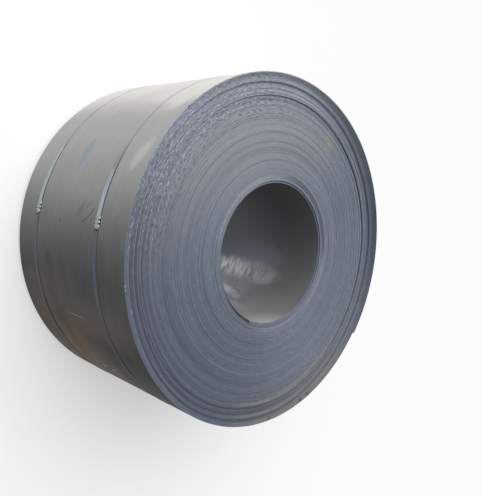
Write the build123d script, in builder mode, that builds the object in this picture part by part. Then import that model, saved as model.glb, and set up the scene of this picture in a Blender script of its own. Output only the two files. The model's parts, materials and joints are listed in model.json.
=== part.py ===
"""A coil of hot-rolled steel strip standing on its end, bound round by two steel straps with notched seals.

The coil's axis is Z, and the origin is on the floor under the middle of the bore. At the upper end the
outer turns stand proud, and since all turns are equally wide, the turns inside them reach lowest. Angles
are counted from +X towards +Y. Seen from above, the strip winds clockwise from the bore outwards.
Lengths are in millimetres.
"""

import os
from math import acos, cos, degrees, radians, sin

from build123d import *

# The strip, and how it is wound
strip_width = 1080.0
strip_thickness = 6.0
turn_count = 95
bore_radius = 381.0
head_angle = 242.5  # where the strip starts, inside the bore
tail_angle = 320.5  # where the strip ends, on the outside

# How far down a turn is set from the upper rim, at the most
telescope = 36.0

# Bands of turns from the bore outwards: the share of all turns at which a band ends, and how far it is
# set down where it starts and where it ends, as shares of the telescope
band_shares = [
    (0.021, 0.56, 0.56),
    (0.075, 0.36, 0.40),
    (0.210, 0.46, 0.58),
    (0.360, 0.64, 0.76),
    (0.600, 0.80, 0.90),
    (0.785, 0.94, 1.00),
    (0.900, 0.70, 0.94),
    (0.958, 0.62, 0.56),
    (1.000, 0.44, 0.00),
]

# The straps: steel band, its first end laid under the other, past the seal
strap_width = 32.0
strap_thickness = 1.0
strap_insets = {"upper": 258.0, "lower": 200.0}  # from the rim at its own end to the strap's middle
under_end_gaps = {"upper": 215.0, "lower": 312.0}  # from the seal to the end of the strap laid under
cut_end_gap = 15.0  # from the seal to the cut end of the strap laid over

# The seals: a sleeve over both strap ends, notched twice on each side
seal_angles = {"upper": 166.0, "lower": 164.3}
seal_length = 57.0
seal_thickness = 1.2
seal_clearance = 0.3
notch_depth = 7.0
notch_width = 8.0
notch_root_width = 3.0
notch_spacing = 19.0

cut_overrun = 5.0
quarters = 4
quarter_turn = 360.0 / quarters

outer_radius = bore_radius + turn_count * strip_thickness
quarter_step = strip_thickness / quarters
strap_heights = {
    "upper": telescope + strip_width - strap_insets["upper"],
    "lower": telescope + strap_insets["lower"],
}


def direction(angle):
    """The unit vector at an angle, in the plane across the axis."""
    return Vector(cos(radians(angle)), sin(radians(angle)))


def turn_arc(quarter):
    """Centre, radius and start angle of one quarter of the outermost turn, clockwise from the tail.

    Each quarter is a plain arc whose radius is one quarter_step larger than the last, and its centre
    moves round a small square, so that the arcs join smoothly and the turn grows by one thickness.
    """
    first_offset = direction(tail_angle - quarter_turn) - direction(tail_angle)
    centre = first_offset * (quarter_step / 2)
    for step in range(1, quarter + 1):
        centre -= direction(tail_angle - quarter_turn * step) * quarter_step
    radius = outer_radius - strip_thickness + quarter_step * quarter
    return centre, radius, tail_angle - quarter_turn * quarter


def radius_after(turn_share):
    """Outer radius of the last whole turn within a share of all turns."""
    return bore_radius + round(turn_share * turn_count) * strip_thickness


def edge_points(rim_height):
    """The strip's edges from the bore outwards, as points of radius and height below a rim."""
    points = []
    inner = bore_radius
    for end_share, first_drop_share, last_drop_share in band_shares:
        outer = radius_after(end_share)
        points.append((inner, rim_height - first_drop_share * telescope))
        points.append((outer, rim_height - last_drop_share * telescope))
        inner = outer
    return points


def wrap_outline(offset, bridged):
    """The outline of the outermost turn, or of a band that lies on it at an offset and bridges its tail."""
    first_centre, first_radius, first_start = turn_arc(0)
    last_centre, last_radius, last_start = turn_arc(quarters - 1)
    tail_corner = last_centre + direction(tail_angle) * last_radius
    lift = degrees(acos(first_radius / (first_radius + strip_thickness))) if bridged else 0.0
    touch = direction(tail_angle - lift)
    with BuildLine() as outline:
        CenterArc(first_centre, first_radius + offset, first_start - lift, lift - quarter_turn)
        for quarter in range(1, quarters):
            centre, radius, start = turn_arc(quarter)
            CenterArc(centre, radius + offset, start, -quarter_turn)
        if offset:
            CenterArc(tail_corner, offset, tail_angle, -lift)
        Line(tail_corner + touch * offset, first_centre + touch * (first_radius + offset))
    return outline.line


def head_gap_outline():
    """The gap in the bore ahead of the strip's start, where the second turn climbs over it in a tangent."""
    climb = degrees(acos(bore_radius / (bore_radius + strip_thickness)))
    corner = direction(head_angle) * (bore_radius + strip_thickness)
    tangent_point = direction(head_angle + climb) * bore_radius
    clear_radius = bore_radius - cut_overrun
    with BuildLine() as outline:
        Line(tangent_point, corner)
        Line(corner, direction(head_angle) * clear_radius)
        CenterArc((0, 0), clear_radius, head_angle, climb)
        Line(direction(head_angle + climb) * clear_radius, tangent_point)
    return outline.line


def make_coil():
    """The wound strip as one turned solid, its outside trimmed to the last turn and its bore to the first."""
    upper_edges = edge_points(telescope + strip_width)
    lower_edges = edge_points(telescope)
    outermost_turn = wrap_outline(0, bridged=False)
    head_gap = head_gap_outline()
    whole_height = strip_width + telescope
    with BuildPart() as coil:
        with BuildSketch(Plane.XZ):
            with BuildLine():
                Polyline(*upper_edges, *reversed(lower_edges), close=True)
            make_face()
        revolve(axis=Axis.Z)
        with BuildSketch(Plane.XY.offset(-cut_overrun)):
            make_face(outermost_turn.edges())
        extrude(amount=whole_height + 2 * cut_overrun, mode=Mode.INTERSECT)
        with BuildSketch(Plane.XY.offset(-cut_overrun)):
            make_face(head_gap.edges())
        extrude(amount=whole_height + 2 * cut_overrun, mode=Mode.SUBTRACT)
    coil.part.label = "coil"
    return coil.part


def seal_seat(name):
    """Centre and radius of the arc of the outside that a seal sits on."""
    quarter = int((tail_angle - seal_angles[name]) % 360 // quarter_turn)
    centre, radius, start = turn_arc(quarter)
    return centre, radius


def make_notches(name):
    """Four tapered prisms that cut a seal and both strap ends inside it from its two sides."""
    centre, radius = seal_seat(name)
    half_width = strap_width / 2 + seal_clearance + seal_thickness
    seat = Plane(
        origin=(centre.X, centre.Y, strap_heights[name]),
        x_dir=(0, 0, 1),
        z_dir=direction(seal_angles[name]),
    )
    with BuildPart() as notches:
        with BuildSketch(seat.offset(radius - cut_overrun)):
            with GridLocations(0, notch_spacing, 1, 2):
                with BuildLine():
                    Polyline(
                        (half_width + cut_overrun, notch_width / 2),
                        (half_width, notch_width / 2),
                        (half_width - notch_depth, notch_root_width / 2),
                        (half_width - notch_depth, -notch_root_width / 2),
                        (half_width, -notch_width / 2),
                        (half_width + cut_overrun, -notch_width / 2),
                        close=True,
                    )
                make_face()
            mirror(about=Plane.YZ)
        extrude(amount=3 * cut_overrun)
    return notches.part


def make_strap(name):
    """A strap drawn tight round the coil, doubled from its cut end to the end laid under it."""
    centre, radius = seal_seat(name)
    notches = make_notches(name)
    strap_outside = wrap_outline(strap_thickness, bridged=True)
    strap_inside = wrap_outline(0, bridged=True)
    cut_end = seal_angles[name] + degrees((seal_length / 2 + cut_end_gap) / radius)
    under_end = seal_angles[name] - degrees((seal_length / 2 + under_end_gaps[name]) / radius)
    top_radius = radius + 2 * strap_thickness
    ramp = degrees(acos((radius + strap_thickness) / top_radius))
    ramp_foot = centre + direction(under_end - ramp) * (radius + strap_thickness)
    with BuildPart() as strap:
        with BuildSketch(Plane.XY.offset(strap_heights[name])):
            make_face(strap_outside.edges())
            with BuildLine():
                CenterArc(centre, top_radius, cut_end, under_end - cut_end)
                Line(centre + direction(under_end) * top_radius, ramp_foot)
                Line(ramp_foot, centre)
                Line(centre, centre + direction(cut_end) * top_radius)
            make_face()
            make_face(strap_inside.edges(), mode=Mode.SUBTRACT)
        extrude(amount=strap_width / 2, both=True)
        add(notches, mode=Mode.SUBTRACT)
    strap.part.label = f"strap_{name}"
    return strap.part


def make_seal(name):
    """A seal folded over the doubled strap, its two sides down on the coil."""
    centre, radius = seal_seat(name)
    notches = make_notches(name)
    half_angle = degrees(seal_length / 2 / radius)
    first_side = direction(seal_angles[name] - half_angle)
    last_side = direction(seal_angles[name] + half_angle)
    tunnel_radius = radius + 2 * strap_thickness
    half_tunnel = strap_width / 2 + seal_clearance
    layers = (
        (half_tunnel + seal_thickness, tunnel_radius + seal_thickness, Mode.ADD),
        (half_tunnel, tunnel_radius, Mode.SUBTRACT),
    )
    with BuildPart() as seal:
        for half_width, layer_radius, mode in layers:
            with BuildSketch(Plane.XY.offset(strap_heights[name])):
                with BuildLine():
                    CenterArc(centre, layer_radius, seal_angles[name] - half_angle, 2 * half_angle)
                    Line(centre + last_side * layer_radius, centre + last_side * radius)
                    CenterArc(centre, radius, seal_angles[name] + half_angle, -2 * half_angle)
                    Line(centre + first_side * radius, centre + first_side * layer_radius)
                make_face()
            extrude(amount=half_width, both=True, mode=mode)
        add(notches, mode=Mode.SUBTRACT)
    seal.part.label = f"seal_{name}"
    return seal.part


pieces = [make_coil()]
for end in strap_insets:
    pieces += [make_strap(end), make_seal(end)]

os.makedirs("parts", exist_ok=True)
for piece in pieces:
    export_step(piece, f"parts/{piece.label}.step")
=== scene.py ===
"""Looks of a hot-rolled steel coil: its wound strip, its two straps and their seals, on a pale studio floor.

All lengths are in metres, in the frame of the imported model: the coil stands on its end with its axis on Z.
Angles are in degrees from +X towards +Y. Seen from above, the strip winds clockwise from the bore outwards.
"""

import json

import bpy
import numpy as np
from mathutils import Matrix, Vector


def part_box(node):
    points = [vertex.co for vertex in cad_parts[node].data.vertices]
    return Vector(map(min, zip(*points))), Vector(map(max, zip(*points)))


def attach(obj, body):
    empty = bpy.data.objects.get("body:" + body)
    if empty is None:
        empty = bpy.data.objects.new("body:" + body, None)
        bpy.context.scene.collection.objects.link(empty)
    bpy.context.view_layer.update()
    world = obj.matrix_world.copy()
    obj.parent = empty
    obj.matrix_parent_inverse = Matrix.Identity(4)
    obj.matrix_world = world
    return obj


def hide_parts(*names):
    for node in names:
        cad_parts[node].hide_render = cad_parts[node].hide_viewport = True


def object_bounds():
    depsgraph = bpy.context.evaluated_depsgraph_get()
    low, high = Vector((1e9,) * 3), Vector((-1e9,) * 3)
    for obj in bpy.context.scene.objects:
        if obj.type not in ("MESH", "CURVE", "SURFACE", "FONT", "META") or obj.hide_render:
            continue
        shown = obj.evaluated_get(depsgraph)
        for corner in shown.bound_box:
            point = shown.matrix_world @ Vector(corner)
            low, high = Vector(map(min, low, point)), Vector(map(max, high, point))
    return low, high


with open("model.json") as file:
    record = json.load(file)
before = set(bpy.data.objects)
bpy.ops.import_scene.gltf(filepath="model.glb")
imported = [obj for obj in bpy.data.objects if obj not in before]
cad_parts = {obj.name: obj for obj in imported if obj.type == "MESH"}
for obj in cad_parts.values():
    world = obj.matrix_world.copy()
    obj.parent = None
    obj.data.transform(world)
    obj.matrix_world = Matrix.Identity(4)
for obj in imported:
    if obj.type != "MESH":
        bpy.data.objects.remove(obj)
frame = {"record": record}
cad_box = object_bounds()
rng = np.random.default_rng(7)

MM = 0.001

# The strip, and how it is wound
strip_width = 1080 * MM
bore_radius = frame["record"]["mounts"][0]["dims"]["r_mm"] * MM
tail_radius = 950.3 * MM  # outside of the strip's outer end
head_angle = 242.5
tail_angle = 320.5
whole_turns = 93
stations_per_turn = 180
rim_height = cad_box[1].z
telescope = rim_height - strip_width
head_dip = 8 * MM  # how far the strip's inner end sinks below its own turn
head_dip_angle = 95
turns = whole_turns + ((head_angle - tail_angle) % 360) / 360
pitch = (tail_radius - bore_radius) / (turns + 1)
turns_to_even = 14  # turns in which the climb over the strip's start spreads out into an even spiral
sharp_angle = 32

# Bands of turns from the bore outwards, as in the solid: the share of all turns at which a band ends, and
# how far it is set down where it starts and where it ends, as shares of the telescope
band_shares = [
    (0.021, 0.56, 0.56),
    (0.075, 0.36, 0.40),
    (0.210, 0.46, 0.58),
    (0.360, 0.64, 0.76),
    (0.600, 0.80, 0.90),
    (0.785, 0.94, 1.00),
    (0.900, 0.70, 0.94),
    (0.958, 0.62, 0.56),
    (1.000, 0.44, 0.00),
]

# How single turns stand within their band, and the gaps between them
own_drop = 0.5 * MM
rough_from_share = 0.77  # turns past this share stand more unevenly, up to the last band
rough_factor = 3.6
drop_lead = 0.42  # share of a turn by which the drops run ahead of the stations
drop_step = 0.16  # share of a turn in which one turn's drop eases into the next one's
edge_wander = 0.25 * MM
wander_spacing = 40  # stations
gap_range = (0.25 * MM, 0.70 * MM)
wide_gap = 1.2 * MM
wide_gap_count = 16
least_groove_depth = 0.6 * MM
groove_depth_per_gap = 2.2

# Nicks and spots near the rim: angle, share of the outer radius, half size, tone and share
end_spots = [
    (284.2, 0.982, 15 * MM, "brown", 0.5),
    (287.8, 0.983, 15 * MM, "brown", 0.5),
    (127.7, 0.992, 7 * MM, "nick", 1.0),
    (284.2, 0.987, 13 * MM, "nick", 1.0),
    (287.2, 0.991, 10 * MM, "nick", 1.0),
    (288.5, 0.984, 11 * MM, "nick", 1.0),
    (282.6, 0.993, 9 * MM, "nick", 0.9),
    (267.8, 0.984, 10 * MM, "nick", 1.0),
    (181.7, 0.991, 9 * MM, "rust", 0.60),
    (182.8, 0.992, 8 * MM, "rust", 0.45),
    (189.7, 0.965, 16 * MM, "rust", 0.12),
]
grit_place = (52.3, 0.753, 68 * MM)  # angle, radius and half size of a gritty patch

# Rings of the end that stand out along an arc: inner and outer radius, the arc's middle and its half length
# in degrees, tone and share. The four rings at 212 degrees are painted shade in sunken turns, and the beige
# rings are lit step walls, the faces' beige with painted light.
end_rings = [
    (0.8065, 0.8155, 212, 70, "oily", 0.45),
    (0.8360, 0.8480, 212, 70, "sunken_shade", 0.55),
    (0.8670, 0.8800, 212, 70, "sunken_shade", 0.70),
    (0.8990, 0.9110, 212, 70, "sunken_shade", 0.65),
    (0.9260, 0.9530, 190, 45, "oily", 0.32),
    (0.8330, 0.8780, 283, 38, "oily", 0.45),
    (0.8960, 0.9080, 283, 38, "oily", 0.65),
    (0.8140, 0.8300, 283, 38, "lit_beige", 0.95),
    (0.8820, 0.8910, 283, 38, "lit_beige", 0.72),
    (0.9140, 0.9530, 283, 38, "lit_beige", 0.72),
    (0.4800, 0.5200, 225, 50, "oily", 0.22),
    (0.6750, 0.7350, 225, 50, "oily", 0.25),
    (0.8950, 0.9300, 150, 18, "oily", 0.20),
    (0.8220, 0.9530, 92, 25, "rubbed", 0.22),
    (0.3980, 0.4320, 32, 50, "oily", 0.70),
    (0.4180, 0.4380, 328, 28, "rubbed", 0.30),
    (0.4100, 0.4300, 275, 30, "rubbed", 0.28),
    (0.4060, 0.4240, 128, 45, "rubbed", 0.45),
    (0.3940, 0.4030, 80, 50, "rubbed", 0.30),
    (0.3865, 0.3915, 62, 60, "oily", 0.75),
    (0.3790, 0.3850, 72, 45, "lit_beige", 0.70),
]
unbroken_tones = ("oily", "sunken_shade")  # rings of the other tones are broken up by hatching
ring_softness = 2 * MM
ring_lift = 12 * MM  # how far the outer rings stand out of round, low on the left of the photograph

# Marks on the coil's walls: angle, height, half length round the wall, half height, slant where there is one,
# and strength in the lists. First painted glints on streaks a mandrel has burnished in the bore, then painted
# light on its low side.
bore_glint_streaks = [
    (325.5, 0.45, 0.105, 0.44, -0.25, 1.25),
    (321.5, 0.66, 0.070, 0.19, -0.25, 0.70),
    (299.0, 0.53, 0.066, 0.10, -2.00, 1.60),
    (284.0, 0.66, 0.080, 0.12, -2.20, 0.22),
    (312.0, 0.41, 0.230, 0.34, -0.25, 0.40),
]
bore_light_marks = [
    (270, 0.92, 0.30, 0.42, 0.0, 0.15),
    (260, 1.18, 0.23, 0.38, 0.0, 0.85),
]
bore_bluing = (343, 0.46, 0.12, 0.40, -0.25)

# The same on the outside: casts of colour, dark rubs, pale scratches, and clouds of dust with a painted
# highlight
warm_cast = (197, 0.85, 0.15, 0.36)
brown_cast = (218, 0.33, 0.55, 0.44)
rusty_cast = (187, 0.144, 0.046, 0.090)
blue_patch = (145.2, 0.529, 0.104, 0.038)
rub_marks = [
    (162.0, 0.744, 0.034, 0.0080, -0.9, 0.35),
    (164.9, 0.765, 0.036, 0.0090, -1.0, 0.42),
    (166.6, 0.722, 0.028, 0.0080, -1.0, 0.42),
    (163.6, 0.792, 0.026, 0.0075, -0.6, 0.45),
    (165.4, 0.806, 0.022, 0.0060, -0.8, 0.45),
    (163.4, 0.680, 0.050, 0.0300, -0.5, 0.22),
    (167.3, 0.496, 0.014, 0.0040, 0.0, 0.75),
    (179.6, 0.377, 0.055, 0.0400, -0.3, 0.30),
    (181.6, 0.856, 0.010, 0.0120, 0.0, 0.70),
]
scratches = [
    (170.2, 0.815, 0.022, 0.0032, 1.4, 0.30),
    (171.0, 0.752, 0.018, 0.0030, 1.6, 0.34),
    (173.2, 0.689, 0.006, 0.0050, 0.0, 0.40),
    (160.5, 0.658, 0.090, 0.0045, -0.1, 0.16),
    (158.0, 0.610, 0.120, 0.0060, -0.1, 0.12),
    (161.0, 0.985, 0.085, 0.0060, -0.2, 0.22),
    (159.0, 1.020, 0.070, 0.0050, -0.2, 0.18),
    (152.0, 0.930, 0.160, 0.0350, -0.2, 0.16),
    (196.9, 0.568, 0.003, 0.1200, 0.0, 0.60),
    (218.7, 0.447, 0.008, 0.0260, 0.0, 1.00),
    (219.2, 0.540, 0.007, 0.0340, 0.0, 1.00),
    (219.6, 0.632, 0.008, 0.0220, 0.0, 1.00),
    (216.0, 0.700, 0.030, 0.0060, 0.0, 0.30),
    (170.3, 0.918, 0.060, 0.0030, 0.9, 0.30),
    (171.4, 0.955, 0.062, 0.0030, 0.65, 0.26),
]
dust_and_highlight_clouds = [
    (124.1, 1.000, 0.090, 0.070, -0.2, 0.85),
    (119.5, 0.930, 0.120, 0.280, -0.1, 0.85),
    (145.5, 1.020, 0.110, 0.048, -0.3, 0.38),
]

# Straps and seals
strap_shadows = {"upper": (155.0, 0.25), "lower": (155.0, 0.30)}  # angle and half length of painted shadow beside them
low_shadow = (202.0, 0.20)  # the same, where the lower strap stands off the coil
strap_thickness = 1.0 * MM
strap_bevel = 0.35 * MM
strap_clearance = 0.2 * MM
lap_clearance = 0.05 * MM
climb_length = 48 * MM  # over which a strap rises onto its own end
seal_angles = {"upper": 166.0, "lower": 164.3}
under_end_gaps = {"upper": 215 * MM, "lower": 312 * MM}
cut_end_gap = 15 * MM
seal_length = 57 * MM
seal_thickness = 1.2 * MM
seal_side_room = 0.4 * MM
seal_top_room = 0.5 * MM
seal_stations = 96
lobe_swell = 1.6 * MM
notch_spacing = 19 * MM
notch_width = 8 * MM
notch_depth = 6.5 * MM
notch_dent = 0.5 * MM  # how far the seal's top sinks at a notch
notch_side_share = 0.3  # share of a notch's width that each of its sloping sides takes
per_metre = np.degrees(1 / tail_radius)  # degrees round the coil for a metre on its outside

# Tones of the finishes, as red, green and blue
tones = {
    "scale_dark": (0.080, 0.081, 0.085),
    "scale_light": (0.109, 0.109, 0.111),
    "scale_shaded": (0.034, 0.032, 0.029),
    "scale_warm": (0.165, 0.140, 0.118),
    "scale_brown": (0.210, 0.126, 0.078),
    "scale_rusty": (0.165, 0.100, 0.075),
    "scale_streak": (0.08, 0.08, 0.08),
    "scale_brushed": (0.50, 0.49, 0.48),
    "scale_blue": (0.30, 0.36, 0.46),
    "scale_rubbed": (0.030, 0.032, 0.034),
    "bare_steel_and_sheen": (0.52, 0.51, 0.50),
    "thin_dust_and_light": (0.465, 0.463, 0.457),
    "thick_dust_and_light": (0.78, 0.76, 0.73),
    "shadow_line": (0.030, 0.030, 0.032),
    "strap_shadow": (0.015, 0.014, 0.018),
    "low_shadow": (0.012, 0.012, 0.012),
    "seal_shadow": (0.008, 0.010, 0.010),
    "bore_dark": (0.13, 0.13, 0.135),
    "bore_light": (0.165, 0.165, 0.165),
    "bore_deep_light": (0.34, 0.35, 0.37),
    "bore_blue": (0.33, 0.37, 0.47),
    "bore_lit": (0.50, 0.485, 0.46),
    "burnished_glint": (0.89, 0.91, 0.95),
    "edge_dark": (0.141, 0.167, 0.222),
    "edge_light": (0.191, 0.221, 0.278),
    "turn_dark": (0.075, 0.088, 0.125),
    "turn_light": (0.27, 0.30, 0.36),
    "streak_dark": (0.07, 0.08, 0.11),
    "streak_light": (0.35, 0.38, 0.43),
    "inner_dust_and_light": (0.455, 0.465, 0.485),
    "outer_dust_and_light": (0.375, 0.405, 0.480),
    "oily_side": (0.070, 0.088, 0.140),
    "rim_shade": (0.075, 0.085, 0.115),
    "torn_dark": (0.070, 0.080, 0.115),
    "torn_light": (0.50, 0.52, 0.57),
    "speck_glint": (0.72, 0.74, 0.78),
    "oily": (0.070, 0.082, 0.125),
    "sunken_shade": (0.048, 0.054, 0.080),
    "lit_beige": (0.260, 0.252, 0.238),
    "rubbed": (0.46, 0.48, 0.51),
    "nick": (0.022, 0.020, 0.017),
    "brown": (0.120, 0.070, 0.045),
    "rust": (0.50, 0.46, 0.38),
    "grit": (0.35, 0.345, 0.29),
    "hollow_shade": (0.03, 0.033, 0.042),
    "side_dark": (0.180, 0.172, 0.154),
    "side_light": (0.25, 0.240, 0.216),
    "side_inner": (0.19, 0.205, 0.235),
    "side_shaded": (0.110, 0.122, 0.158),
    "side_dust_and_light": (0.36, 0.39, 0.46),
    "strap_sky_blue": (0.12, 0.16, 0.22),
    "strap_streak": (0.10, 0.12, 0.16),
    "strap_low_shade": (0.03, 0.03, 0.03),
    "strap_glint": (0.17, 0.16, 0.15),
    "strap_edge_shade": (0.02, 0.02, 0.025),
    "pulled_dark": (0.27, 0.33, 0.38),
    "pulled_light": (0.43, 0.485, 0.53),
    "zinc_dark": (0.24, 0.31, 0.30),
    "zinc_light": (0.37, 0.44, 0.43),
    "zinc_lobe_highlight": (0.86, 0.92, 0.91),
    "zinc_notch_shade": (0.006, 0.010, 0.010),
}


def camera():
    """The photograph's viewpoint. The coil lies on its side there, so its up is +Y here."""
    place = Vector((-2.26241, 0.55124, 3.23681))
    target = Vector((0.24748, -0.06194, 0.57600))
    photo_right = Vector((0.72744, 0.0, 0.68617))
    back = (place - target).normalized()
    up = back.cross(photo_right).normalized()
    right = up.cross(back)
    data = bpy.data.cameras.new("camera")
    data.sensor_width = 36.0
    data.lens = 42.375
    data.clip_end = 200.0
    made = bpy.data.objects.new("camera", data)
    made.matrix_world = Matrix.Translation(place) @ Matrix((right, up, back)).transposed().to_4x4()
    bpy.context.scene.collection.objects.link(made)
    bpy.context.scene.camera = made


camera()


def ease(x):
    """A smooth step from 0 to 1: three x squared less two x cubed, with x held between 0 and 1."""
    x = np.clip(x, 0, 1)
    return x * x * (3 - 2 * x)


def mesh_object(name, points, quads, ends, uv, slots=None):
    """A mesh object from an array of points, an array of quads and the polygons that close its ends.

    uv holds one pair for each corner of each face, and slots one material index for each face.
    """
    loops = np.concatenate([quads.ravel(), *ends]).astype(np.int32)
    sizes = np.array([4] * len(quads) + [len(end) for end in ends], np.int32)
    starts = (np.cumsum(sizes) - sizes).astype(np.int32)
    mesh = bpy.data.meshes.new(name)
    mesh.vertices.add(len(points))
    mesh.vertices.foreach_set("co", points.astype(np.float32).ravel())
    mesh.loops.add(len(loops))
    mesh.loops.foreach_set("vertex_index", loops)
    mesh.polygons.add(len(sizes))
    mesh.polygons.foreach_set("loop_start", starts)
    mesh.polygons.foreach_set("loop_total", sizes)
    if slots is not None:
        mesh.polygons.foreach_set("material_index", slots.astype(np.int32))
    mesh.update(calc_edges=True)
    mesh.uv_layers.new(name="strip").data.foreach_set("uv", uv.astype(np.float32).ravel())
    mesh.polygons.foreach_set("use_smooth", np.ones(len(sizes), bool))
    mesh.set_sharp_from_angle(angle=np.radians(sharp_angle))
    made = bpy.data.objects.new(name, mesh)
    bpy.context.scene.collection.objects.link(made)
    return made


def keep_at_points(piece, name, values):
    """Keeps one value for each point of a piece under a name, for its material."""
    kept = piece.data.attributes.new(name, "FLOAT", "POINT")
    kept.data.foreach_set("value", values.astype(np.float32).ravel())


def turn_drops():
    """How far each turn is set down from the rim: its band's drop, and a small one of its own."""
    shares, first, last = np.array(band_shares).T
    ends = np.round(shares * (whole_turns + 2))
    starts = np.concatenate([[0], ends[:-1]])
    turn = np.arange(whole_turns + 4)
    band = np.minimum(np.searchsorted(ends, turn, side="right"), len(ends) - 1)
    along = np.clip((turn - starts[band]) / np.maximum(ends[band] - 1 - starts[band], 1), 0, 1)
    rough = (turn > rough_from_share * whole_turns) & (turn < starts[-1])
    own = rng.normal(0, own_drop, len(turn)) * np.where(rough, rough_factor, 1)
    return telescope * (first[band] + (last[band] - first[band]) * along) + own


def spiral_radius(station):
    """The ribbon's inner radius at a station: bore + pitch (k + w), for k whole turns so far.

    w goes from 0 to 1 within a turn: in the first turn at its very end, where the second climbs over the
    strip's start in a tangent, and in later turns more and more evenly. On the tangent the radius is
    bore / cos(x), with x the angle from the point where it leaves the bore.
    """
    k, within = station // stations_per_turn, (station % stations_per_turn) / stations_per_turn
    climb = np.arccos(bore_radius / (bore_radius + pitch))
    left = (1 - within) * 2 * np.pi
    tangent = bore_radius / np.cos(climb - np.minimum(left, climb))
    sudden = np.clip((tangent - bore_radius) / pitch, 0, 1)
    even = ease(k / turns_to_even)
    return bore_radius + pitch * (k + (1 - even) * sudden + even * within)


def edge_heights(station, turn, shifted, drops):
    """The upper edge's height at a station: the rim less the turn's drop, eased into the next turn's.

    A slow wander is added, and the strip's inner end dips below its own turn.
    """
    step = ease((shifted - turn - (1 - drop_step)) / drop_step)
    knots = np.arange(0, len(station) + wander_spacing - 1, wander_spacing)
    wander = np.interp(station, knots, rng.normal(0, edge_wander, len(knots)))
    top = rim_height - (drops[turn] * (1 - step) + drops[turn + 1] * step) + wander
    top -= head_dip * (1 - ease(station / stations_per_turn * 360 / head_dip_angle))
    return np.clip(top, strip_width, rim_height)


def wound_strip():
    """The strip as one closed ribbon wound on a spiral.

    Station i lies at the angle head - 360 i / n, for n stations in a turn, and at the spiral's radius. Each
    turn carries an upper edge with two bevelled corners and a groove before the next turn, and a lower edge
    of two lines, one strip's width below.
    """
    n = stations_per_turn
    last = int(round(turns * n))
    i = np.arange(last + n + 1)
    angle = np.radians(head_angle - 360 * i / n)
    inner = spiral_radius(i)
    drops = turn_drops()
    shifted = (i + drop_lead * n) / n
    turn = np.minimum(shifted.astype(int), len(drops) - 2)
    top = edge_heights(i, turn, shifted, drops)
    gaps = rng.uniform(*gap_range, len(drops))
    gaps[rng.integers(2, whole_turns, wide_gap_count)] = wide_gap
    gap = gaps[turn]

    def row(index, radius, height):
        return np.stack([radius * np.cos(angle[index]), radius * np.sin(angle[index]), height], 1)

    main = i[: last + 1]
    groove_floor = top - (groove_depth_per_gap * gap + least_groove_depth)
    groove_floor[n:] = np.minimum(groove_floor[n:], groove_floor[:-n].copy())
    outer = inner[main + n]
    bottom = top[main] - strip_width
    rows = [
        row(i, inner, groove_floor),
        row(main, inner[main] + gap[main], top[main]),
        row(main, outer - gap[main], top[main]),
        row(main, inner[main] + gap[main] / 2, bottom),
        row(main, outer - gap[main] / 2, bottom),
    ]
    points = np.concatenate(rows)
    a, b, c, u, v = np.cumsum([0] + [len(r) for r in rows[:-1]]).tolist()

    # a, b, c, u and v are the rows' first points. A band of quads is given by its stations, the rows that its
    # four corners lie in, which of the corners lie at the next station, and its material.
    edge_slot, face_slot, bore_slot, side_slot = range(4)
    lengthwise, crosswise = (0, 1, 1, 0), (0, 0, 1, 1)
    j = main[:-1]
    outer_side = np.where(j < last - n, side_slot, face_slot)
    bands = [
        (j, (a, a, b, b), lengthwise, side_slot),
        (j, (b, b, c, c), lengthwise, edge_slot),
        (j, (c, c, a + n, a + n), lengthwise, outer_side),
        (j, (u, v, v, u), crosswise, edge_slot),
        (j[: last - n], (v, u + n, u + n, v), crosswise, face_slot),
        (j[:n], (a, u, u, a), crosswise, bore_slot),
        (j[last - n :], (a + n, a + n, v, v), lengthwise, face_slot),
    ]
    quads = np.concatenate([at[:, None] + np.add(corners, step) for at, corners, step, _ in bands])
    slots = np.concatenate([np.broadcast_to(slot, len(at)) for at, _, _, slot in bands])
    head = [a, b, c, a + n, u + n, v, u]
    tail = [a + last, v + last - n, u + last, v + last, a + last + n, c + last, b + last]

    run = np.concatenate([[0], np.cumsum((inner[:-1] + pitch / 2) * 2 * np.pi / n)])
    along = np.concatenate([run[at[:, None] + np.array(step)] for at, _, step, _ in bands])
    uv = np.stack([along.ravel(), points[quads.ravel(), 2]], 1)
    ends_uv = np.stack([np.zeros(len(head) + len(tail)), points[head + tail, 2]], 1)
    slots = np.concatenate([slots, [edge_slot, edge_slot]])
    return mesh_object("wound_strip", points, quads, [head, tail], np.concatenate([uv, ends_uv]), slots)


def wrap_radius(angle):
    """Radius of the coil's outside at an angle, growing by one pitch in the turn that ends at the tail."""
    past_tail = np.mod(tail_angle - angle, 360) / 360
    return tail_radius - pitch * (1 - past_tail)


def strap_radius(angle):
    """Radius of a strap's underside: the coil's outside, with a straight bridge over the strip's end.

    Along the bridge the radius is p / cos(x), where p is the distance of the straight line from the axis
    and x the angle from its foot.
    """
    low_radius = tail_radius - pitch
    bridge = np.degrees(np.arccos(low_radius / tail_radius))
    from_foot = np.mod(angle - (tail_angle - bridge) + 180, 360) - 180
    on_bridge = (from_foot > 0) & (from_foot < bridge)
    straight = low_radius / np.cos(np.radians(np.clip(from_foot, 0, bridge)))
    return np.where(on_bridge, straight, wrap_radius(angle)) + strap_clearance


def notch_share(distance):
    """1 in the middle of a notch and 0 outside it, for a distance along the strap from the seal's middle."""
    off = np.abs(np.abs(distance) - notch_spacing / 2)
    return np.clip((notch_width / 2 - off) / (notch_width * notch_side_share), 0, 1)


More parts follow.
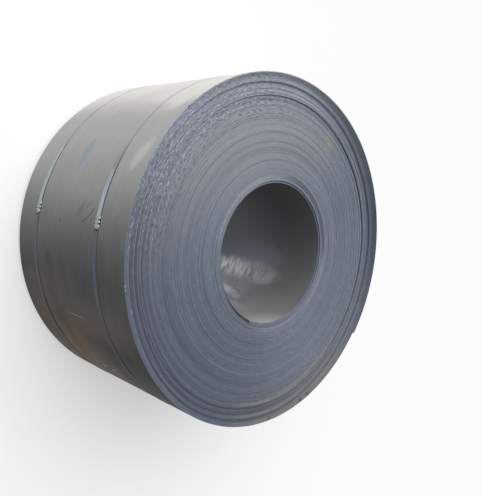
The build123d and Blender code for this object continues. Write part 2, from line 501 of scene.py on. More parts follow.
def carried_profile(name, angle, radius, middle_z, across, out):
    """A closed band made by carrying a section along a path round the coil.

    angle and radius give the path, one value a station. across and out are arrays of stations by section
    points: how far a point lies along Z from the band's middle, and how far outwards from the path.
    """
    stations, around = across.shape
    turned = np.radians(angle)[:, None]
    reach = radius[:, None] + out
    points = np.stack([reach * np.cos(turned), reach * np.sin(turned), middle_z + across], 2)
    points = points.reshape(-1, 3)
    s, p = np.meshgrid(np.arange(stations - 1), np.arange(around), indexing="ij")
    s, p = s.ravel(), p.ravel()
    here, after = s * around + p, s * around + (p + 1) % around
    quads = np.stack([here, after, after + around, here + around], 1)
    first = np.arange(around)[::-1].tolist()
    final = ((stations - 1) * around + np.arange(around)).tolist()
    run = np.concatenate([[0], np.cumsum(np.abs(np.diff(np.radians(angle))) * radius[:-1])])
    along = run[np.stack([s, s, s + 1, s + 1], 1)].ravel()
    uv = np.stack([along, points[quads.ravel(), 2]], 1)
    ends_uv = np.stack([np.zeros(2 * around), points[first + final, 2]], 1)
    return mesh_object(name, points, quads, [first, final], np.concatenate([uv, ends_uv]))


def strap(name):
    """A strap as one band: from its end laid under, once round the coil, over that end and on to its cut end.

    Its section is a rectangle with bevelled edges. It rises over its own end in a smooth step, and narrows
    at the seal's notches, which cut it too. Its stations are closest at the seal and where it rises.
    """
    low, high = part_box("strap_" + name)
    seal_at = seal_angles[name]
    under_end = seal_at - (seal_length / 2 + under_end_gaps[name]) * per_metre
    cut_end = seal_at + (seal_length / 2 + cut_end_gap) * per_metre + 360
    fine = np.arange(-seal_length / 2, seal_length / 2, 0.8 * MM) * per_metre
    stations = [
        np.arange(under_end, cut_end, 1.0),
        [cut_end],
        seal_at + fine,
        seal_at + 360 + fine,
        np.arange(under_end + 355, under_end + 361, 0.2),
        np.arange(tail_angle - 8, tail_angle + 1, 0.5),
    ]
    angle = np.unique(np.round(np.concatenate(stations), 4))
    angle = angle[angle >= under_end]

    climb = climb_length * per_metre
    past_lap = angle - under_end - 360
    lift = (strap_thickness + lap_clearance) * ease((past_lap + climb) / climb)
    notched = sum(notch_share((angle - turned - seal_at) / per_metre) for turned in (0, 360))
    half = (high.z - low.z) / 2 - np.minimum(notched, 1) * (notch_depth - seal_thickness)
    side = np.array([-1, -1, -1, 1, 1, 1])
    inset = np.array([strap_bevel, 0, strap_bevel, strap_bevel, 0, strap_bevel])
    out = np.array([0, strap_bevel, strap_thickness, strap_thickness, strap_bevel, 0])
    across = side * (half[:, None] - inset)
    made = carried_profile(
        "strap_band_" + name,
        angle,
        strap_radius(angle) + lift,
        (low.z + high.z) / 2,
        across,
        np.broadcast_to(out, across.shape),
    )
    pulled = ease((past_lap + climb / 2) / (climb * 0.4))
    past_seal = angle > seal_at + 360 + seal_length / 2 * per_metre
    keep_at_points(made, "doubled", np.repeat(pulled * (1 - past_seal), len(out)))
    keep_at_points(made, "stub", np.repeat(past_seal, len(out)))
    keep_at_points(made, "side", np.tile(out < strap_thickness / 2, len(angle)))
    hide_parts("strap_" + name)
    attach(made, "root")
    return made


def seal(name):
    """A seal over the doubled strap: a sleeve with two notches on each side, its lobes swelling between.

    The half width is the sleeve's own, less the notch's depth where notch_share is 1, and more by a small
    cosine swell in the lobes. The side walls lean out a little at the lobes' feet.
    """
    low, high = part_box("strap_" + name)
    along = np.linspace(-seal_length / 2, seal_length / 2, seal_stations)
    notched = notch_share(along)
    half_width = (high.z - low.z) / 2 + seal_thickness + seal_side_room
    swell = np.abs(np.cos(np.pi * along / notch_spacing)) * lobe_swell
    half = half_width + swell * (1 - notched) - notched * notch_depth
    tall = 2 * strap_thickness + seal_thickness + seal_top_room + swell * 0.25 - notched * notch_dent
    shares_across = np.array([-1.0, -1.02, -1.0, -0.93, -0.82, -0.7, 0, 0.7, 0.82, 0.93, 1.0, 1.02, 1.0])
    shares_out = np.array([0.0, 0.35, 0.72, 0.94, 1.0, 1.01, 1.03, 1.01, 1.0, 0.94, 0.72, 0.35, 0.0])
    angle = seal_angles[name] + along * per_metre
    made = carried_profile(
        "crimped_seal_" + name,
        angle,
        strap_radius(angle) - strap_clearance + lap_clearance,
        (low.z + high.z) / 2,
        half[:, None] * shares_across,
        tall[:, None] * shares_out,
    )
    # shares for the painted highlight on the lobes' edges and the painted shadow in the notches
    highlit_lobes = np.outer(1 - notched, np.abs(shares_across) > 0.85)
    keep_at_points(made, "lobe_highlight", highlit_lobes * swell[:, None] / lobe_swell)
    keep_at_points(made, "notch_shade", np.outer(notched, np.abs(shares_across) > 0.78))
    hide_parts("seal_" + name)
    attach(made, "root")
    return made


def add_node(tree, kind, inputs=None, **settings):
    """A node of a kind in a tree, with its settings, and each input linked to a socket or given a value."""
    made = tree.nodes.new("ShaderNode" + kind)
    for name, value in settings.items():
        setattr(made, name, value)
    for name, value in (inputs or {}).items():
        if isinstance(value, bpy.types.NodeSocket):
            tree.links.new(value, made.inputs[name])
        else:
            made.inputs[name].default_value = value
    return made


def math_node(tree, operation, first, second=0.0, third=0.0, clamp=False):
    """The value of a sum, quotient or other operation on two or three values."""
    made = add_node(tree, "Math", {0: first, 1: second, 2: third}, operation=operation, use_clamp=clamp)
    return made.outputs[0]


def times(tree, product, *factors):
    """The product of two or more values."""
    for factor in factors:
        product = math_node(tree, "MULTIPLY", product, factor)
    return product


def times_plus(tree, value, factor, more):
    """A value times a factor, plus something more."""
    return math_node(tree, "MULTIPLY_ADD", value, factor, more)


def grade(tree, value, low, high, to_low=0.0, to_high=1.0):
    """A value taken smoothly from one range to another, and held within it."""
    inputs = {0: value, 1: low, 2: high, 3: to_low, 4: to_high}
    return add_node(tree, "MapRange", inputs, interpolation_type="SMOOTHSTEP").outputs[0]


def mix_colour(tree, share, first, second, blend="MIX"):
    """A colour between two, by a share. Each of the two is a socket or the name of a tone."""
    first, second = ((*tones[part], 1) if isinstance(part, str) else part for part in (first, second))
    settings = {"data_type": "RGBA", "blend_type": blend, "clamp_factor": True}
    return add_node(tree, "Mix", {0: share, 6: first, 7: second}, **settings).outputs[2]


def painted(tree, base, *layers):
    """A colour with more laid over it in turn, each by its share."""
    for share, tone in layers:
        base = mix_colour(tree, share, base, tone)
    return base


def mottled(tree, pattern, first, second):
    """Two tones mottled by a noise."""
    return mix_colour(tree, grade(tree, pattern, 0.3, 0.7), first, second)


def split(tree, vector):
    """The three values of a vector, by the names X, Y and Z."""
    return add_node(tree, "SeparateXYZ", {0: vector}).outputs


def noise(tree, vector, scale, detail, roughness):
    """Noise between 0 and 1, at a scale."""
    inputs = {"Vector": vector, "Scale": scale, "Detail": detail, "Roughness": roughness}
    return add_node(tree, "TexNoise", inputs).outputs[0]


def drawn_noise(tree, along, across, along_scale, across_scale, detail, roughness=0.6):
    """Noise drawn out into streaks: it reads each of two distances at a scale of its own."""
    inputs = {0: times(tree, along, along_scale), 1: times(tree, across, across_scale)}
    return noise(tree, add_node(tree, "CombineXYZ", inputs).outputs[0], 1.0, detail, roughness)


def facing(angle):
    """The outward direction at an angle round the coil."""
    return (float(np.cos(np.radians(angle))), float(np.sin(np.radians(angle))), 0.0)


def vector_value(tree, operation, first, second=(0.0, 0.0, 0.0)):
    """The value of an operation on one or two vectors."""
    return add_node(tree, "VectorMath", {0: first, 1: second}, operation=operation).outputs["Value"]


def towards(tree, place, angle):
    """How far a place lies towards an angle, measured from the coil's axis."""
    return vector_value(tree, "DOT_PRODUCT", place, facing(angle))


def cosine_to(tree, place, radius, angle):
    """The cosine of the angle between a place, at a radius, and another angle round the coil."""
    return math_node(tree, "DIVIDE", towards(tree, place, angle), radius)


def from_axis(tree, place):
    """A place without its height, and how far it lies from the coil's axis."""
    parts = split(tree, place)
    flat = add_node(tree, "CombineXYZ", {0: parts["X"], 1: parts["Y"]}).outputs[0]
    return flat, vector_value(tree, "LENGTH", flat)


def new_group(name, inputs, outputs):
    """An empty node group with sockets by name and kind: its tree, its inputs and its output node."""
    tree = bpy.data.node_groups.new(name, "ShaderNodeTree")
    for side, sockets in (("INPUT", inputs), ("OUTPUT", outputs)):
        for socket, kind in sockets.items():
            tree.interface.new_socket(socket, in_out=side, socket_type="NodeSocket" + kind)
    return tree, tree.nodes.new("NodeGroupInput").outputs, tree.nodes.new("NodeGroupOutput")


def use_group(tree, group, inputs):
    """The outputs of a node group placed in a tree with its own values."""
    return add_node(tree, "Group", inputs, node_tree=group).outputs


def streaks_group():
    """Streaks drawn out along the strip: long ones, fine ones, a cloudy mottle and short brushed ones."""
    scales = {
        "Long": (0.8, 26.0, 3.0),
        "Fine": (7.0, 380.0, 3.0),
        "Mottle": (1.6, 4.0, 5.0),
        "Brushed": (5.0, 95.0, 2.0),
    }
    runs = dict.fromkeys(("Along", "Across"), "Float")
    tree, given, result = new_group("rolling_streaks", runs, dict.fromkeys(scales, "Float"))
    for name, (along, across, detail) in scales.items():
        made = drawn_noise(tree, given["Along"], given["Across"], along, across, detail)
        tree.links.new(made, result.inputs[name])
    return tree


mark_inputs = {
    "Place": "Vector",
    "Facing": "Vector",
    "Height": "Float",
    "Half length": "Float",
    "Half height": "Float",
    "Slant": "Float",
    "Softness": "Float",
}


def mark_group():
    """An oval mark on a wall of the coil: 1 inside and 0 outside, with a soft edge.

    Facing is the outward direction at its middle. The distance along is measured in the tangent plane. A
    point is inside where the squares of its two distances, each over its half size, add up to less than 1.
    """
    tree, given, result = new_group("oval_mark", mark_inputs, {"Mark": "Float"})
    parts = split(tree, given["Place"])
    faces = split(tree, given["Facing"])
    one = times(tree, parts["Y"], faces["X"])
    other = times(tree, parts["X"], faces["Y"])
    along = math_node(tree, "SUBTRACT", one, other)
    above = math_node(tree, "SUBTRACT", parts["Z"], given["Height"])
    above = math_node(tree, "SUBTRACT", above, times(tree, along, given["Slant"]))
    along = math_node(tree, "POWER", math_node(tree, "DIVIDE", along, given["Half length"]), 2.0)
    above = math_node(tree, "POWER", math_node(tree, "DIVIDE", above, given["Half height"]), 2.0)
    inside = math_node(tree, "SUBTRACT", 1.0, math_node(tree, "ADD", along, above))
    soft = math_node(tree, "DIVIDE", inside, given["Softness"], clamp=True)
    same_side = vector_value(tree, "DOT_PRODUCT", given["Place"], given["Facing"])
    near = math_node(tree, "GREATER_THAN", same_side, 0.0)
    tree.links.new(times(tree, soft, near), result.inputs["Mark"])
    return tree


def upper_dust_and_light_group():
    """Pale dust on the side of the coil that lay uppermost, which is +Y here, with a cloudy edge, and painted
    light on that side.
    """
    inputs = {"Place": "Vector", "Low": "Float", "High": "Float"}
    tree, given, result = new_group("upper_dust_and_light", inputs, {"Share": "Float"})
    cloud = noise(tree, given["Place"], 2.4, 4.0, 0.6)
    level = math_node(tree, "ADD", split(tree, given["Place"])["Y"], times(tree, cloud, 0.16))
    share = grade(tree, math_node(tree, "SUBTRACT", level, 0.08), given["Low"], given["High"])
    tree.links.new(share, result.inputs["Share"])
    return tree


oval_mark = mark_group()
upper_dust_and_light = upper_dust_and_light_group()


def mark(tree, place, angle, height, half_length, half_height, slant=0.0, softness=1.0):
    """An oval mark, by the angle and height of its middle."""
    values = (place, facing(angle), height, half_length, half_height, slant, softness)
    return use_group(tree, oval_mark, dict(zip(mark_inputs, values)))["Mark"]


def outdoor_scale_group():
    """Mill scale as it shows on the outside: brown, with painted shade on the low side and dust with painted
    light on the high side.
    """
    inputs = {"Place": "Vector", "Mottle": "Float", "Long": "Float"}
    tree, given, result = new_group("outdoor_scale", inputs, {"Colour": "Color", "Dust and light": "Float"})
    place = given["Place"]
    brown = times(
        tree,
        mark(tree, place, *brown_cast),
        grade(tree, given["Mottle"], 0.25, 0.75, 0.6, 1.0),
        grade(tree, noise(tree, place, 4.0, 4.0, 0.6), 0.35, 0.55, 0.5, 1.0),
    )
    # dust and painted light: the high side paler
    dust_and_light_share = use_group(tree, upper_dust_and_light, {"Place": place, "Low": -0.07, "High": 0.65})["Share"]
    dust_and_light_share = times(tree, dust_and_light_share, grade(tree, given["Long"], 0.3, 0.7, 0.9, 1.0))
    thick = use_group(tree, upper_dust_and_light, {"Place": place, "Low": 0.70, "High": 0.90})["Share"]
    colour = painted(
        tree,
        mottled(tree, given["Mottle"], "scale_dark", "scale_light"),
        # painted shade: the low side, towards 228 degrees, darker
        (grade(tree, towards(tree, place, 228), 0.72, 0.92, 0.0, 0.75), "scale_shaded"),
        (times(tree, mark(tree, place, *warm_cast), 0.6), "scale_warm"),
        (brown, "scale_brown"),
        (times(tree, mark(tree, place, *rusty_cast), 0.7), "scale_rusty"),
        (dust_and_light_share, "thin_dust_and_light"),
        (thick, "thick_dust_and_light"),
    )
    tree.links.new(colour, result.inputs["Colour"])
    tree.links.new(dust_and_light_share, result.inputs["Dust and light"])
    return tree


streaks = streaks_group()
outdoor_scale = outdoor_scale_group()


def new_material(name):
    """A material with its tree, its shader, and the place on the piece that its patterns read."""
    made = bpy.data.materials.new(name)
    made.use_nodes = True
    tree = made.node_tree
    tree.nodes.clear()
    shader = tree.nodes.new("ShaderNodeBsdfPrincipled")
    output = tree.nodes.new("ShaderNodeOutputMaterial")
    tree.links.new(shader.outputs[0], output.inputs[0])
    return made, tree, shader, add_node(tree, "TexCoord").outputs["Object"]


def run_of(tree):
    """Distances on a piece, from its UV map: X along the strip or strap, and Y up the coil."""
    return split(tree, add_node(tree, "UVMap", uv_map="strip").outputs[0])


def streaks_of(tree):
    """The strip's streaks, along and across the piece."""
    run = run_of(tree)
    return use_group(tree, streaks, {"Along": run["X"], "Across": run["Y"]})


def scale_of(tree, place, lines):
    """The outside's mill scale at a place: its colour, and its share of dust and painted light."""
    inputs = {"Place": place, "Mottle": lines["Mottle"], "Long": lines["Long"]}
    return use_group(tree, outdoor_scale, inputs)


def complete(tree, shader, colour, roughness, relief, strength, distance):
    """Joins a colour, a roughness and a relief to a shader."""
    tree.links.new(colour, shader.inputs["Base Color"])
    tree.links.new(roughness, shader.inputs["Roughness"])
    bump = add_node(tree, "Bump", {"Height": relief, "Strength": strength, "Distance": distance})
    tree.links.new(bump.outputs[0], shader.inputs["Normal"])


def painted_strap_shadows(tree, place, colour):
    """The outside's colour with painted shadow beside the straps, round the seals and in their notches."""
    height = split(tree, place)["Z"]
    half_notch_angle = np.degrees(notch_spacing / 2 / tail_radius)
    for name, (angle, half_length) in strap_shadows.items():
        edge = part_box("strap_" + name)[1].z
        off = math_node(tree, "ABSOLUTE", math_node(tree, "SUBTRACT", height, edge + 1.5 * MM))
        # painted shadow: a dark line along the strap's edge
        shadow_line = grade(tree, off, 2.6 * MM, 0.8 * MM, 0.0, 0.5)
        beside = mark(tree, place, angle, edge + 2.6 * MM, half_length, 4.2 * MM, softness=0.6)
        colour = painted(tree, colour, (shadow_line, "shadow_line"), (times(tree, beside, 0.9), "strap_shadow"))
        seal_at = (place, seal_angles[name], edge + 2 * MM, 0.6 * seal_length, 6 * MM)
        colour = mix_colour(tree, mark(tree, *seal_at, softness=0.4), colour, "seal_shadow")
        for turned in (-half_notch_angle, half_notch_angle):
            notch_at = (place, seal_angles[name] + turned, edge + 2 * MM, 5.5 * MM, 11 * MM)
            colour = mix_colour(tree, mark(tree, *notch_at, softness=0.5), colour, "seal_shadow")
    angle, half_length = low_shadow
    lower_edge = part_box("strap_lower")[1].z
    beneath = mark(tree, place, angle, lower_edge + 3 * MM, half_length, 5 * MM, softness=0.6)
    return mix_colour(tree, times(tree, beneath, 0.9), colour, "low_shadow")


def rolled_face():
    """The strip's outer face: mill scale with streaks, dust, painted light and sheen, a brown cast, painted
    shadows by the straps, scuffs and an oval patch.
    """
    made, tree, shader, place = new_material("rolled_face")
    lines = streaks_of(tree)
    cloud = noise(tree, place, 3.2, 4.0, 0.6)
    colour = scale_of(tree, place, lines)["Colour"]
    high_side = grade(tree, towards(tree, place, 90), -0.1, 0.3)
    # painted sheen: a cloudy lightening on the high side, in the tone of the bared scratches
    high_side_sheen = times(tree, grade(tree, cloud, 0.5, 0.75, 0.0, 0.2), high_side)
    colour = mix_colour(tree, high_side_sheen, colour, "bare_steel_and_sheen", "LIGHTEN")
    # pale clouds of dust, the one near the rim at the top a painted highlight
    for *spot, share in dust_and_highlight_clouds:
        pale_cloud = times(tree, mark(tree, place, *spot), grade(tree, cloud, 0.35, 0.6, 0.6 * share, share))
        colour = mix_colour(tree, pale_cloud, colour, "thick_dust_and_light")
    colour = painted_strap_shadows(tree, place, colour)
    fine = grade(tree, lines["Fine"], 0.52, 0.8, 0.0, 0.16)
    brushed = times(
        tree,
        times_plus(tree, high_side, 0.12, 0.04),
        grade(tree, lines["Brushed"], 0.5, 0.72),
        grade(tree, cloud, 0.35, 0.6),
    )
    patch = mark(tree, place, *blue_patch, softness=0.6)
    patch = times(tree, patch, grade(tree, lines["Long"], 0.3, 0.6, 0.5, 0.9))
    colour = painted(tree, colour, (fine, "scale_streak"), (brushed, "scale_brushed"), (patch, "scale_blue"))
    for *spot, share in rub_marks:
        rub = times(tree, mark(tree, place, *spot, softness=0.9), share)
        colour = mix_colour(tree, rub, colour, "scale_rubbed")
    for *spot, share in scratches:
        broken = grade(tree, lines["Mottle"], 0.35, 0.6, 0.4 * share, share)
        scratch = times(tree, mark(tree, place, *spot, softness=0.9), broken)
        colour = mix_colour(tree, scratch, colour, "bare_steel_and_sheen")
    shader.inputs["Specular IOR Level"].default_value = 0.08
    roughness = grade(tree, lines["Long"], 0.3, 0.7, 0.44, 0.54)
    relief = math_node(tree, "ADD", lines["Fine"], times(tree, lines["Mottle"], 2.0))
    complete(tree, shader, colour, roughness, relief, 0.1, 2 * MM)
    return made


def bore_face():
    """The strip's face in the bore: darker scale, with painted light deep down and on the low side, and
    painted glints on streaks burnished where a mandrel has gripped it.
    """
    made, tree, shader, place = new_material("bore_face")
    lines = streaks_of(tree)
    # painted light: lighter deep in the bore, less so towards 300 degrees
    painted_depth_light = grade(tree, split(tree, place)["Z"], 1.0, 0.25)
    painted_depth_light = times(tree, painted_depth_light, grade(tree, towards(tree, place, 300), -0.3, 0.1, 0.6, 1.0))
    colour = painted(
        tree,
        mottled(tree, lines["Mottle"], "bore_dark", "bore_light"),
        (painted_depth_light, "bore_deep_light"),
        (times(tree, mark(tree, place, *bore_bluing), 0.7), "bore_blue"),
    )
    # painted light: the bore's low side paler
    for *spot, share in bore_light_marks:
        painted_lit_patch = math_node(tree, "POWER", mark(tree, place, *spot), 2.0)
        colour = mix_colour(tree, times(tree, painted_lit_patch, share), colour, "bore_lit")
    # painted reflection: near-white glints on metallic streaks burnished by a mandrel
    burnish_and_glint = 0.0
    for *spot, strength in bore_glint_streaks:
        bore_glint = math_node(tree, "POWER", mark(tree, place, *spot), 1.6)
        burnish_and_glint = math_node(tree, "MAXIMUM", burnish_and_glint, times(tree, bore_glint, strength))
    run = run_of(tree)
    streak = drawn_noise(tree, run["X"], run["Y"], 11.0, 80.0, 4.0, 0.65)
    burnish_and_glint = times(tree, burnish_and_glint, grade(tree, streak, 0.36, 0.60, 0.30, 1.0))
    cloud = noise(tree, place, 11.0, 2.0, 0.5)
    burnish_and_glint = times(tree, burnish_and_glint, grade(tree, cloud, 0.35, 0.55, 0.62, 1.0))
    colour = mix_colour(tree, burnish_and_glint, colour, "burnished_glint")
    tree.links.new(grade(tree, burnish_and_glint, 0.0, 1.0, 0.0, 0.6), shader.inputs["Metallic"])
    roughness = grade(tree, burnish_and_glint, 0.0, 1.0, 0.42, 0.3)
    complete(tree, shader, colour, roughness, lines["Fine"], 0.1, 2 * MM)
    return made


def edge_steel(tree, patterns, outer):
    """Blue-grey steel, darker and lighter turn by turn and in fine streaks, more so on the outer turns."""
    base = mottled(tree, patterns["slow"], "edge_dark", "edge_light")
    ring_share = times_plus(tree, outer, 0.30, 0.35)
    fine_share = times_plus(tree, outer, 0.25, 0.40)
    layers = [
        ("ring", 0.30, ring_share, "turn_dark"),
        ("ring", 0.70, ring_share, "turn_light"),
        ("fine", 0.75, fine_share, "streak_light"),
        ("fine", 0.25, fine_share, "streak_dark"),
    ]
    for pattern, full_at, most, tone in layers:
        share = times(tree, grade(tree, patterns[pattern], 0.5, full_at), most)
        base = mix_colour(tree, share, base, tone)
    return base


def edge_weather(tree, place, radius, outer, base):
    """The edges' colour with dust and painted light on the high side, oil on the low side and painted shade
    at the rim on the right.
    """
    # dust and painted light: the high side paler
    cloudy = times_plus(tree, noise(tree, place, 2.4, 4.0, 0.6), 0.16, towards(tree, place, 99))
    dust_and_light_share = grade(tree, cloudy, times_plus(tree, outer, 0.15, 0.15), 1.03, 0.0, 0.68)
    dust_and_light = mix_colour(tree, outer, "inner_dust_and_light", "outer_dust_and_light")
    oily = grade(tree, towards(tree, place, 222), 0.10, 0.75, 0.0, times_plus(tree, outer, 0.09, 0.50))
    # painted shade: the outer rings on the right darker, where their walls face away from the light
    right_rim_shade = grade(tree, towards(tree, place, 22), 0.50, 0.88, 0.0, 0.5)
    right_rim_shade = times(tree, right_rim_shade, grade(tree, radius, 0.84, 0.90))
    return painted(tree, base, (dust_and_light_share, dust_and_light), (oily, "oily_side"), (right_rim_shade, "rim_shade"))


def ring_marks(tree, place, radius, outer, hatch, base):
    """The edges' colour with its rings. A ring's share fades at its two radii and at its arc's ends."""
    hatched = grade(tree, hatch, 0.38, 0.58, 0.40, 1.0)
    lifted = grade(tree, cosine_to(tree, place, radius, 252), 0.60, 0.97, 0.0, ring_lift)
    ring_place = math_node(tree, "SUBTRACT", radius, times(tree, lifted, outer))
    for inner_edge, outer_edge, middle, half_arc, tone, share in end_rings:
        soft = min(ring_softness, (outer_edge - inner_edge) / 3)
        arc_ends = np.cos(np.radians([half_arc, half_arc / 2])).tolist()
        ring = times(
            tree,
            grade(tree, ring_place, inner_edge - soft, inner_edge + soft, 0.0, share),
            grade(tree, ring_place, outer_edge + soft, outer_edge - soft),
            grade(tree, cosine_to(tree, place, radius, middle), *arc_ends),
        )
        if tone not in unbroken_tones:
            ring = times(tree, ring, hatched)
        base = mix_colour(tree, ring, base, tone)
    return base


def spot_share(tree, flat, angle, reach, half_size, share=1.0):
    """A round spot on the coil's end, by the angle and radius of its middle, with a soft edge."""
    middle = tuple(reach * part for part in facing(angle))
    return grade(tree, vector_value(tree, "DISTANCE", flat, middle), half_size, half_size / 3, 0.0, share)


def head_hollow(tree, place, radius, dashes):
    """Painted shade in the gap under the second turn where it rises off the strip's inner end, wider near
    that end.
    """
    past_head = towards(tree, place, head_angle - 90)
    hollow_shade = times(
        tree,
        grade(tree, towards(tree, place, head_angle), 0.0, 0.05),
        grade(tree, past_head, 0.44, 0.14),
        math_node(tree, "GREATER_THAN", past_head, 0.0),
    )
    reach = times_plus(tree, hollow_shade, 15 * MM, bore_radius + pitch * 0.4)
    hollow_shade = times(tree, hollow_shade, math_node(tree, "LESS_THAN", radius, reach))
    return math_node(tree, "MULTIPLY", hollow_shade, grade(tree, dashes, 0.35, 0.6, 1.6, 0.8), clamp=True)


def slit_edge():
    """The strip's edges, on the coil's two ends: blue-grey, streaked turn by turn, with bright specks of
    painted glint.
    """
    made, tree, shader, place = new_material("slit_edge")
    flat, radius = from_axis(tree, place)
    along = run_of(tree)["X"]
    scales = {
        "slow": (0.45, 0.0, 3.0),
        "ring": (0.8, 105.0, 3.0),
        "fine": (26.0, 170.0, 3.0),
        "dashes": (40.0, 215.0, 2.0),
        "specks": (46.0, 230.0, 1.0),
        "hatch": (75.0, 25.0, 1.0),
    }
    patterns = {name: drawn_noise(tree, along, radius, *values) for name, values in scales.items()}
    dashes, specks = patterns["dashes"], patterns["specks"]
    outer = grade(tree, radius, 0.70, 0.82)
    base = edge_steel(tree, patterns, outer)
    base = edge_weather(tree, place, radius, outer, base)

    shear = cosine_to(tree, place, radius, 125)
    torn = times(tree, grade(tree, radius, 0.655, 0.785), grade(tree, shear, 0.45, 0.85))
    pale = times(tree, grade(tree, dashes, 0.52, 0.66, 0.0, 0.42), torn)
    gouged = times(tree, grade(tree, dashes, 0.48, 0.34, 0.0, 0.85), torn)
    # painted glints: bright specks on the outer turns, on the shear side
    speck_glint = times(tree, grade(tree, specks, 0.60, 0.70, 0.0, 0.8), outer, grade(tree, shear, 0.60, 0.90))
    base = painted(tree, base, (pale, "torn_light"), (gouged, "torn_dark"), (speck_glint, "speck_glint"))

    base = ring_marks(tree, place, radius, outer, patterns["hatch"], base)
    grit = times(tree, spot_share(tree, flat, *grit_place), grade(tree, specks, 0.42, 0.62, 0.12, 0.95))
    base = mix_colour(tree, grit, base, "grit")
    for angle, share_out, half_size, tone, share in end_spots:
        spot = spot_share(tree, flat, angle, share_out * tail_radius, half_size, share)
        base = mix_colour(tree, spot, base, tone)
    # painted shade in the gap at the strip's inner end
    base = mix_colour(tree, head_hollow(tree, place, radius, dashes), base, "hollow_shade")
    roughness = grade(tree, patterns["fine"], 0.3, 0.7, 0.45, 0.6)
    relief = times_plus(tree, times(tree, dashes, torn), 2.0, patterns["fine"])
    complete(tree, shader, base, roughness, relief, 0.3, 2 * MM)
    return made


def turn_side():
    """The strip's rolled faces where they show between turns: beige scale, fine streaks, painted shade
    towards 45 degrees, and dust with painted light on the outer walls.
    """
    made, tree, shader, place = new_material("turn_side")
    lines = streaks_of(tree)
    radius = from_axis(tree, place)[1]
    shade = grade(tree, towards(tree, place, 45), -0.5, 0.3, 0.0, 0.8)
    # dust and painted light: the outer walls on the high side lighter
    dust_and_light = grade(tree, towards(tree, place, 95), 0.0, 0.6, 0.0, 0.9)
    dust_and_light = times(tree, dust_and_light, grade(tree, radius, 0.87, 0.90))
    tone = painted(
        tree,
        mottled(tree, lines["Long"], "side_dark", "side_light"),
        (grade(tree, radius, 0.8, 0.5), "side_inner"),
        (shade, "side_shaded"),
        (dust_and_light, "side_dust_and_light"),
    )
    roughness = grade(tree, lines["Fine"], 0.3, 0.7, 0.45, 0.6)
    complete(tree, shader, tone, roughness, lines["Fine"], 0.1, 1 * MM)
    return made


def attribute(tree, name):
    """A value kept at the points of a piece."""
    return add_node(tree, "Attribute", attribute_name=name).outputs["Fac"]


def strap_steel():
    """Strapping: dull steel with a painted blue sky reflection on one side, painted shade and a painted
    glint, brighter on the doubled stretch that the tensioner has pulled through.
    """
    made, tree, shader, place = new_material("strap_steel")
    lines = streaks_of(tree)
    scale = scale_of(tree, place, lines)
    dust_and_light_share = scale["Dust and light"]
    # painted reflection: a blue sky tint on the side towards 170 degrees
    sky_blue_share = grade(tree, towards(tree, place, 170), 0.80, 0.93)
    doubled = attribute(tree, "doubled")
    angle, half_length = low_shadow
    lower_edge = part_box("strap_lower")[0].z
    glint = mark(tree, place, angle, lower_edge + 5 * MM, half_length, 6 * MM, softness=0.6)
    # painted shade: the strap's sides and its cut end past the seal near black
    side = times(tree, attribute(tree, "side"), times_plus(tree, dust_and_light_share, -0.5, 1.0))
    painted_dark = math_node(tree, "MAXIMUM", side, times(tree, attribute(tree, "stub"), 0.8))
    tone = painted(
        tree,
        scale["Colour"],
        (times(tree, sky_blue_share, times_plus(tree, dust_and_light_share, -0.35, 0.6)), "strap_sky_blue"),
        (doubled, mottled(tree, lines["Mottle"], "pulled_dark", "pulled_light")),
        # painted shade on the strap's low side
        (grade(tree, towards(tree, place, 225), 0.74, 0.90, 0.0, 0.5), "strap_low_shade"),
        (times(tree, glint, 0.8), "strap_glint"),
        (grade(tree, lines["Fine"], 0.45, 0.75, 0.0, 0.2), "strap_streak"),
        (painted_dark, "strap_edge_shade"),
    )
    tree.links.new(grade(tree, doubled, 0.0, 1.0, 0.0, 0.6), shader.inputs["Metallic"])
    shader.inputs["Specular IOR Level"].default_value = 0.08
    roughness = grade(tree, doubled, 0.0, 1.0, 0.45, 0.28)
    complete(tree, shader, tone, roughness, lines["Fine"], 0.1, 1 * MM)
    return made


def zinc_seal():
    """Pressed seal steel with a pale zinc coat, with painted highlights on its lobes and painted shadow in
    its notches.
    """
    made, tree, shader, place = new_material("zinc_seal")
    spangle = noise(tree, place, 160.0, 3.0, 0.6)
    tone = mix_colour(tree, grade(tree, spangle, 0.35, 0.65), "zinc_dark", "zinc_light")
    # painted highlight on the lobes and painted shadow in the notches
    painted_dark = attribute(tree, "notch_shade")
    tone = painted(tree, tone, (attribute(tree, "lobe_highlight"), "zinc_lobe_highlight"), (painted_dark, "zinc_notch_shade"))
    shader.inputs["Metallic"].default_value = 0.4
    roughness = grade(tree, spangle, 0.3, 0.7, 0.28, 0.42)
    complete(tree, shader, tone, roughness, spangle, 0.2, 0.6 * MM)
    return made


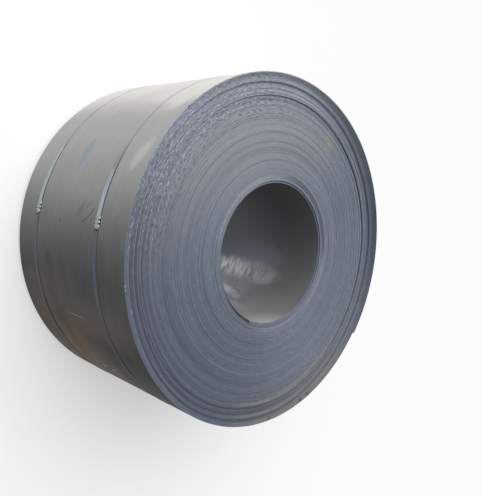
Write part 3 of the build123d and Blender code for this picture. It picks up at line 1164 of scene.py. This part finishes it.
def studio_floor():
    """A wide pale floor, which the camera and reflections see as nearly white."""
    half = 60.0
    corners = [(-half, -half, 0), (half, -half, 0), (half, half, 0), (-half, half, 0)]
    mesh = bpy.data.meshes.new("floor")
    mesh.from_pydata(corners, [], [(0, 1, 2, 3)])
    floor = bpy.data.objects.new("floor", mesh)
    bpy.context.scene.collection.objects.link(floor)
    pale = bpy.data.materials.new("pale_floor")
    pale.use_nodes = True
    tree = pale.node_tree
    tree.nodes.clear()
    rays = tree.nodes.new("ShaderNodeLightPath").outputs
    seen = math_node(tree, "MAXIMUM", rays["Is Camera Ray"], rays["Is Glossy Ray"])
    seen = math_node(tree, "MAXIMUM", seen, rays["Is Transmission Ray"])
    plain = add_node(tree, "BsdfDiffuse", {"Color": (0.45, 0.45, 0.44, 1)})
    white = add_node(tree, "BsdfDiffuse", {"Color": (0.95, 0.95, 0.95, 1)})
    glow = add_node(tree, "Emission", {"Color": (1, 1, 1, 1), "Strength": 1.0})
    backdrop = add_node(tree, "MixShader", {0: 0.45, 1: white.outputs[0], 2: glow.outputs[0]})
    mixed = add_node(tree, "MixShader", {0: seen, 1: plain.outputs[0], 2: backdrop.outputs[0]})
    output = tree.nodes.new("ShaderNodeOutputMaterial")
    tree.links.new(mixed.outputs[0], output.inputs[0])
    mesh.materials.append(pale)


def studio_light():
    """A soft high light from the photograph's up side, and an even pale surround."""
    world = bpy.data.worlds.new("surround")
    bpy.context.scene.world = world
    world.use_nodes = True
    tree = world.node_tree
    tree.nodes.clear()
    rays = tree.nodes.new("ShaderNodeLightPath").outputs
    dim = add_node(tree, "Background", {"Color": (1, 1, 1, 1), "Strength": 0.22})
    bright = add_node(tree, "Background", {"Color": (1, 1, 1, 1), "Strength": 1.0})
    mixed = add_node(tree, "MixShader", {0: rays["Is Camera Ray"], 1: dim.outputs[0], 2: bright.outputs[0]})
    output = tree.nodes.new("ShaderNodeOutputWorld")
    tree.links.new(mixed.outputs[0], output.inputs[0])

    sun = bpy.data.lights.new("key", "SUN")
    sun.energy = 3.15
    sun.angle = np.radians(70)
    key = bpy.data.objects.new("key", sun)
    key.rotation_mode = "QUATERNION"
    key.rotation_quaternion = Vector((-0.05, 0.62, 0.78)).to_track_quat("Z", "Y")
    bpy.context.scene.collection.objects.link(key)
    bpy.context.scene.view_settings.view_transform = "Standard"


coil = wound_strip()
for finish in (slit_edge(), rolled_face(), bore_face(), turn_side()):
    coil.data.materials.append(finish)
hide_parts("coil")
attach(coil, "root")

strap_finish = strap_steel()
seal_finish = zinc_seal()
for end in seal_angles:
    strap(end).data.materials.append(strap_finish)
    seal(end).data.materials.append(seal_finish)

studio_floor()
studio_light()
